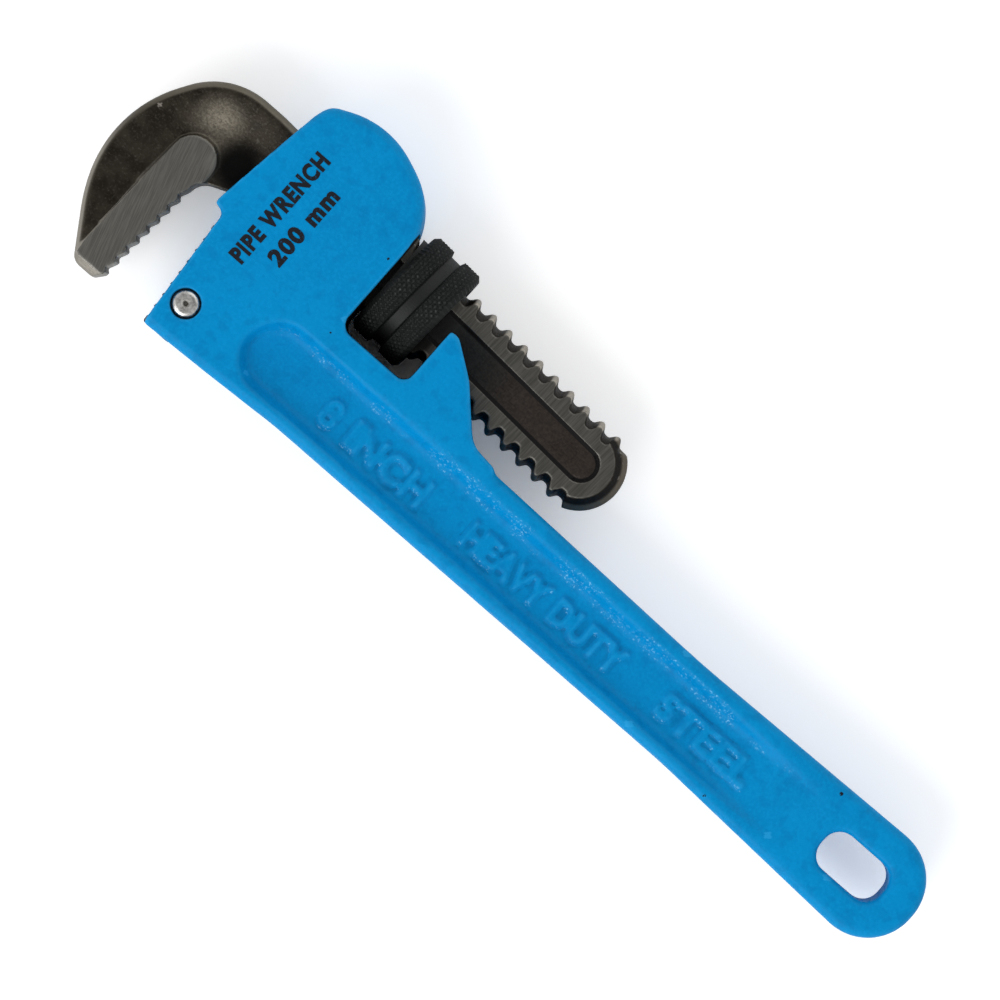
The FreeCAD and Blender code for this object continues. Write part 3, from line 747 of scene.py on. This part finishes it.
def dish_hook(piece):
    """Sink the hook's faces inside a raised rim, and leave its tooth block standing."""
    into = DRAWING.inverted()
    points = [into @ v.co for v in piece.data.vertices]
    walls = [i for i, p in enumerate(points) if p.x < HOOK_START + 6 and abs(p.z) < 0.4]
    outline = KDTree(len(walls))
    for i in walls:
        outline.insert(Vector((points[i].x, points[i].y, 0)), i)
    outline.balance()
    start, full = DISH_RIM
    for vertex, p in zip(piece.data.vertices, points):
        if p.x < DISH_END and DISH_REACH[0] < abs(p.z) < DISH_REACH[1]:
            away = outline.find(Vector((p.x, p.y, 0)))[2]
            share = min(max((away - start) / (full - start), 0.0), 1.0)
            share *= share * (3 - 2 * share)
            vertex.co.z -= math.copysign(share * DISH_DEPTH * MM, p.z)


def panel_words():
    """Small raised marks in the shank's panel, on both sides."""
    words = []
    heights = (PANEL_ISLAND - 0.3, PANEL_ISLAND + MARK_RELIEF)
    for text, middle, size in PANEL_MARKS:
        for turn in (0.0, math.pi):
            words.append(word_mesh(text, middle, size, heights, SHANK @ Matrix.Rotation(turn, 4, "X")))
    return words


def hook_jaw(steel):
    piece = placed("forged_hook_jaw", merged_copy("hook_jaw"), steel)
    piece.data.transform(SHANK.inverted())
    reskin(piece, JAW_VOXEL, 1)
    piece.data.transform(SHANK)
    dish_hook(piece)
    soften = piece.modifiers.new("soften", "SMOOTH")
    soften.factor = 0.4
    soften.iterations = 1
    make_plain(piece)
    add_meshes(piece, panel_words())
    return piece


def nut_blank():
    """Turned ring with a bore, a middle groove and chamfered ends, fine enough outside to be knurled."""
    half = NUT_LENGTH / 2
    waist = NUT_R - GROOVE_DEPTH
    start, end = GROOVE_HALF + 0.4, half - NUT_CHAMFER
    band = [start + (end - start) * i / BAND_STEPS for i in range(BAND_STEPS + 1)]
    right = [(0.0, waist), (GROOVE_HALF, waist)] + [(a, NUT_R) for a in band]
    right += [(half, NUT_R - NUT_CHAMFER), (half, NUT_BORE_R + 0.3), (half - 0.3, NUT_BORE_R)]
    profile = [(-a, r) for a, r in reversed(right[1:])] + right
    around = KNURLS * KNURL_STEPS
    vertices = []
    for i in range(around):
        turn = math.tau * i / around
        vertices += [(a, r * math.cos(turn), r * math.sin(turn)) for a, r in profile]
    return vertices, grid_faces(around, len(profile))


def grid_faces(rows, columns, closed_rows=True):
    """Quads between rows of points; every row is a closed loop."""
    faces = []
    for i in range(rows if closed_rows else rows - 1):
        for j in range(columns):
            a, b = i * columns, (i + 1) % rows * columns
            k = (j + 1) % columns
            faces.append((a + j, b + j, b + k, a + k))
    return faces


def nut_thread():
    """Helical ridge in the nut's bore."""
    steps = int(RIDGE_LENGTH / PITCH * RIDGE_STEPS)
    vertices = []
    for i in range(steps + 1):
        place = RIDGE_START + PITCH * i / RIDGE_STEPS
        turn = math.tau * (place + NUT_PLACE - CREST_PHASE) / PITCH
        fade = min(1.0, i / RIDGE_FADE, (steps - i) / RIDGE_FADE)
        for radius, offset in RIDGE_PROFILE:
            r = radius + (NUT_BORE_R + 0.1 - radius) * (1 - fade) if radius < NUT_BORE_R else radius
            vertices.append((place + offset, r * math.cos(turn), r * math.sin(turn)))
    columns = len(RIDGE_PROFILE)
    faces = grid_faces(steps + 1, columns, closed_rows=False)
    faces += [tuple(range(columns)), tuple(steps * columns + k for k in range(columns))]
    return vertices, faces


def adjusting_nut(black):
    vertices, faces = nut_blank()
    piece = placed("knurled_nut", drawn_mesh("nut_blank", vertices, faces, Matrix.Identity(4)), black)
    knurl_tree().run(piece, black, Radius=NUT_R, Depth=KNURL_DEPTH, Knurls=float(KNURLS),
                     Row_length=KNURL_ROW)
    add_meshes(piece, [drawn_mesh("nut_thread", *nut_thread(), Matrix.Identity(4))])
    piece.data.transform(SHANK @ Matrix.Translation((NUT_PLACE, 0, 0)))
    piece.data.shade_smooth()
    piece.data.set_sharp_from_angle(angle=math.radians(28))
    return piece


def coil_spring(steel):
    low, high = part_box("coil_spring")
    length = high.y - low.y - 2 * COIL_WIRE_R * MM
    piece = placed("wound_coil_spring", bpy.data.meshes.new("coil_spring_wire"), steel)
    coil_tree().run(piece, steel, Coil_radius=COIL_R * MM, Wire_radius=COIL_WIRE_R * MM,
                    Turns=float(COIL_TURNS), Height=length)
    foot = Vector(((low.x + high.x) / 2, low.y + COIL_WIRE_R * MM, (low.z + high.z) / 2))
    piece.data.transform(Matrix.Translation(foot) @ Matrix.Rotation(-math.pi / 2, 4, "X"))
    piece.data.shade_smooth()
    return piece


def machined(name, node, material, angle):
    """A node's own shape with smooth rounds and crisp edges."""
    piece = placed(name, merged_copy(node), material)
    piece.data.shade_smooth()
    piece.data.set_sharp_from_angle(angle=math.radians(angle))
    return piece


def fit(piece, node, slot):
    """Put a piece in a node's place, on that node's body."""
    body = next(b for b, members in frame["record"]["behaviour"]["bodies"].items() if node in members)
    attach(piece, body)
    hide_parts(node)


# ---------------------------------------------------------------- studio

PICTURE_UP = 41.3               # the camera is turned this far about Z
PICTURE_MIDDLE = (34.33, -16.47)
PICTURE_WIDTH = 175.6           # width in view at the wrench's middle plane
LENS = 240.0
SENSOR = 36.0
FLOOR_GLOW = 0.38               # light that the sheet adds where it lies open
CLOSE_BY = 0.03                 # the wrench takes the glow away within this distance, in metres
GLOW_SHADE = (0.06, 0.32)       # no glow and full glow at these shares of open sky
TENT_LIGHT = (1.06, 0.33)       # strength of the light tent at the horizon and overhead


def floor():
    """Pale sheet under the wrench, which looks a little brighter to the camera than it is."""
    mesh = bpy.data.meshes.new("floor")
    side = 2.5
    corners = [(-side, -side, 0), (side, -side, 0), (side, side, 0), (-side, side, 0)]
    mesh.from_pydata(corners, [], [(0, 1, 2, 3)])
    material = bpy.data.materials.new("pale_floor")
    material.use_nodes = True
    shader = material.node_tree.nodes["Principled BSDF"]
    shader.inputs["Base Color"].default_value = rgb(0.96, 0.96, 0.96)
    shader.inputs["Roughness"].default_value = 0.9
    shader.inputs["Specular IOR Level"].default_value = 0.1
    shader.inputs["Emission Color"].default_value = rgb(1, 1, 1)
    nodes, links = material.node_tree.nodes, material.node_tree.links
    shade = nodes.new("ShaderNodeAmbientOcclusion")
    shade.inputs["Distance"].default_value = CLOSE_BY
    clear = nodes.new("ShaderNodeMapRange")
    clear.inputs["From Min"].default_value = GLOW_SHADE[0]
    clear.inputs["From Max"].default_value = GLOW_SHADE[1]
    clear.inputs["To Max"].default_value = FLOOR_GLOW
    glow = nodes.new("ShaderNodeMath")
    glow.operation = "MULTIPLY"
    links.new(shade.outputs["AO"], clear.inputs["Value"])
    links.new(clear.outputs["Result"], glow.inputs[0])
    links.new(nodes.new("ShaderNodeLightPath").outputs["Is Camera Ray"], glow.inputs[1])
    links.new(glow.outputs[0], shader.inputs["Emission Strength"])
    placed("floor", mesh, material)


def soft_light(name, place, size, power):
    """Square soft box that looks at the wrench."""
    lamp = bpy.data.lights.new(name, "AREA")
    lamp.energy = power
    lamp.size = size
    box = bpy.data.objects.new(name, lamp)
    box.location = place
    box.rotation_euler = (Vector((0, 0, 0)) - box.location).to_track_quat("-Z", "Y").to_euler()
    bpy.context.scene.collection.objects.link(box)


def studio():
    floor()
    turn = Matrix.Rotation(math.radians(PICTURE_UP), 4, "Z")
    soft_light("key_light", turn @ Vector((-0.80, -0.80, 0.95)), 1.2, 12.8)
    soft_light("fill_light", turn @ Vector((0.65, 0.95, 0.95)), 1.1, 3.4)
    world = bpy.data.worlds.new("light_tent")
    world.use_nodes = True
    nodes, links = world.node_tree.nodes, world.node_tree.links
    height = nodes.new("ShaderNodeSeparateXYZ")
    links.new(nodes.new("ShaderNodeTexCoord").outputs["Generated"], height.inputs[0])
    wall = nodes.new("ShaderNodeMapRange")
    wall.inputs["To Min"].default_value = TENT_LIGHT[0]
    wall.inputs["To Max"].default_value = TENT_LIGHT[1]
    links.new(height.outputs["Z"], wall.inputs["Value"])
    links.new(wall.outputs["Result"], nodes["Background"].inputs["Strength"])
    nodes["Background"].inputs["Color"].default_value = rgb(1, 1, 1)
    bpy.context.scene.world = world
    bpy.context.scene.view_settings.view_transform = "Standard"


def camera():
    """Camera straight above the wrench."""
    lens = bpy.data.cameras.new("camera")
    lens.lens = LENS
    lens.sensor_width = SENSOR
    seat = bpy.data.objects.new("camera", lens)
    seat.location = DRAWING @ Vector((*PICTURE_MIDDLE, PICTURE_WIDTH * LENS / SENSOR))
    seat.rotation_euler = (0, 0, math.radians(PICTURE_UP))
    bpy.context.scene.collection.objects.link(seat)
    bpy.context.scene.camera = seat


# ---------------------------------------------------------------- the wrench

paint, forged, black = blue_paint(), forged_steel(), nut_black()
hard, bright, sprung = jaw_steel(), bright_pin(), spring_steel()

fit(painted_handle(paint), "handle", "blue_paint")
fit(hook_jaw(forged), "hook_jaw", "forged_steel")
fit(adjusting_nut(black), "adjusting_nut", "nut_black")
fit(machined("hardened_heel_jaw", "heel_jaw", hard, 25), "heel_jaw", "jaw_steel")
fit(machined("riveted_pin", "heel_jaw_pin", bright, 40), "heel_jaw_pin", "bright_pin")
fit(machined("leaf_spring", "flat_spring", sprung, 30), "flat_spring", "spring_steel")
fit(machined("leaf_rivet", "flat_spring_rivet", bright, 40), "flat_spring_rivet", "bright_pin")
fit(coil_spring(sprung), "coil_spring", "spring_steel")
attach(pad_print(print_ink()), "handle")

studio()
camera()
